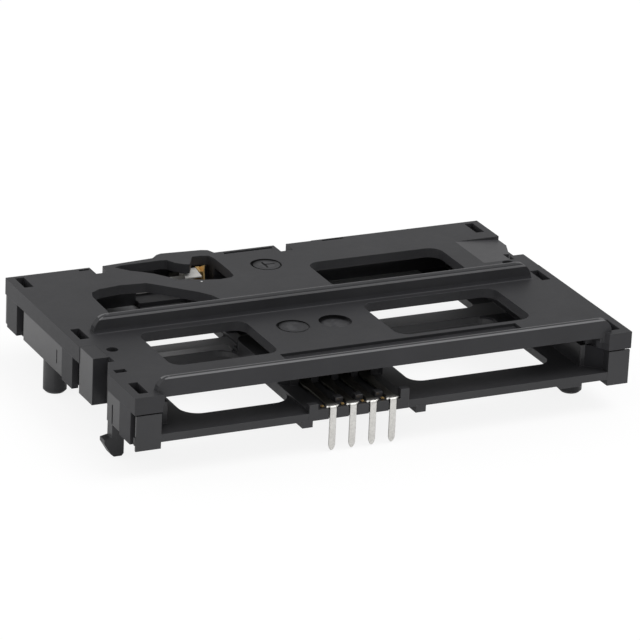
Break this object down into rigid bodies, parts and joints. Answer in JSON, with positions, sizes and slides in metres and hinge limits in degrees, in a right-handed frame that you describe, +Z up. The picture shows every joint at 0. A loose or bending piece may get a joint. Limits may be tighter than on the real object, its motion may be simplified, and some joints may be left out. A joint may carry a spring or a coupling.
{
  "type": "smart card socket",
  "caption": "Low flat socket for a smart card, with a ribbed clip-on cover, card slot at the front, rows of sprung contacts with solder tails and a card switch.",
  "frame": {"origin": "axis of the rear left locating peg, in the plane of the circuit board face that the feet stand on", "axes": "+X across the card mouth to the right, +Y away from the card mouth to the rear, +Z up out of the circuit board"},
  "size_m": [0.0648, 0.042, 0.0118],
  "materials": {
    "base": "satin moulded plastic, charcoal",
    "cover": "satin moulded plastic, charcoal",
    "contacts": "gold and tin plated copper alloy strip",
    "switch_blade": "tin plated copper alloy strip"
  },
  "bodies": {
    "housing": {"base": "base", "cover": "cover", "switch_terminal": "contacts"},
    "front_contact_1": {"front_contact_1": "contacts"},
    "front_contact_2": {"front_contact_2": "contacts"},
    "front_contact_3": {"front_contact_3": "contacts"},
    "front_contact_4": {"front_contact_4": "contacts"},
    "rear_contact_1": {"rear_contact_1": "contacts"},
    "rear_contact_2": {"rear_contact_2": "contacts"},
    "rear_contact_3": {"rear_contact_3": "contacts"},
    "rear_contact_4": {"rear_contact_4": "contacts"},
    "switch_blade": {"switch_blade": "switch_blade"}
  },
  "joints": [
    {"name": "front_contact_1_spring", "type": "hinge", "parent": "housing", "child": "front_contact_1", "pos_m": [0.02315, -0.0228, 0.0022], "axis": [-1, 0, 0], "range_deg": [0, 2.1], "stiffness_Nm_per_rad": 0.1},
    {"name": "front_contact_2_spring", "type": "hinge", "parent": "housing", "child": "front_contact_2", "pos_m": [0.02569, -0.0228, 0.0022], "axis": [-1, 0, 0], "range_deg": [0, 2.1], "stiffness_Nm_per_rad": 0.1},
    {"name": "front_contact_3_spring", "type": "hinge", "parent": "housing", "child": "front_contact_3", "pos_m": [0.02823, -0.0228, 0.0022], "axis": [-1, 0, 0], "range_deg": [0, 2.1], "stiffness_Nm_per_rad": 0.1},
    {"name": "front_contact_4_spring", "type": "hinge", "parent": "housing", "child": "front_contact_4", "pos_m": [0.03077, -0.0228, 0.0022], "axis": [-1, 0, 0], "range_deg": [0, 2.1], "stiffness_Nm_per_rad": 0.1},
    {"name": "rear_contact_1_spring", "type": "hinge", "parent": "housing", "child": "rear_contact_1", "pos_m": [0.02315, 0.0086, 0.0022], "axis": [1, 0, 0], "range_deg": [0, 3.4], "stiffness_Nm_per_rad": 0.046},
    {"name": "rear_contact_2_spring", "type": "hinge", "parent": "housing", "child": "rear_contact_2", "pos_m": [0.02569, 0.0086, 0.0022], "axis": [1, 0, 0], "range_deg": [0, 3.4], "stiffness_Nm_per_rad": 0.046},
    {"name": "rear_contact_3_spring", "type": "hinge", "parent": "housing", "child": "rear_contact_3", "pos_m": [0.02823, 0.0086, 0.0022], "axis": [1, 0, 0], "range_deg": [0, 3.4], "stiffness_Nm_per_rad": 0.046},
    {"name": "rear_contact_4_spring", "type": "hinge", "parent": "housing", "child": "rear_contact_4", "pos_m": [0.03077, 0.0086, 0.0022], "axis": [1, 0, 0], "range_deg": [0, 3.4], "stiffness_Nm_per_rad": 0.046},
    {"name": "switch_blade_spring", "type": "hinge", "parent": "housing", "child": "switch_blade", "pos_m": [0.01213, 0.0119, 0.0035], "axis": [0, 0, 1], "range_deg": [0, 6.9], "stiffness_Nm_per_rad": 0.007}
  ]
}
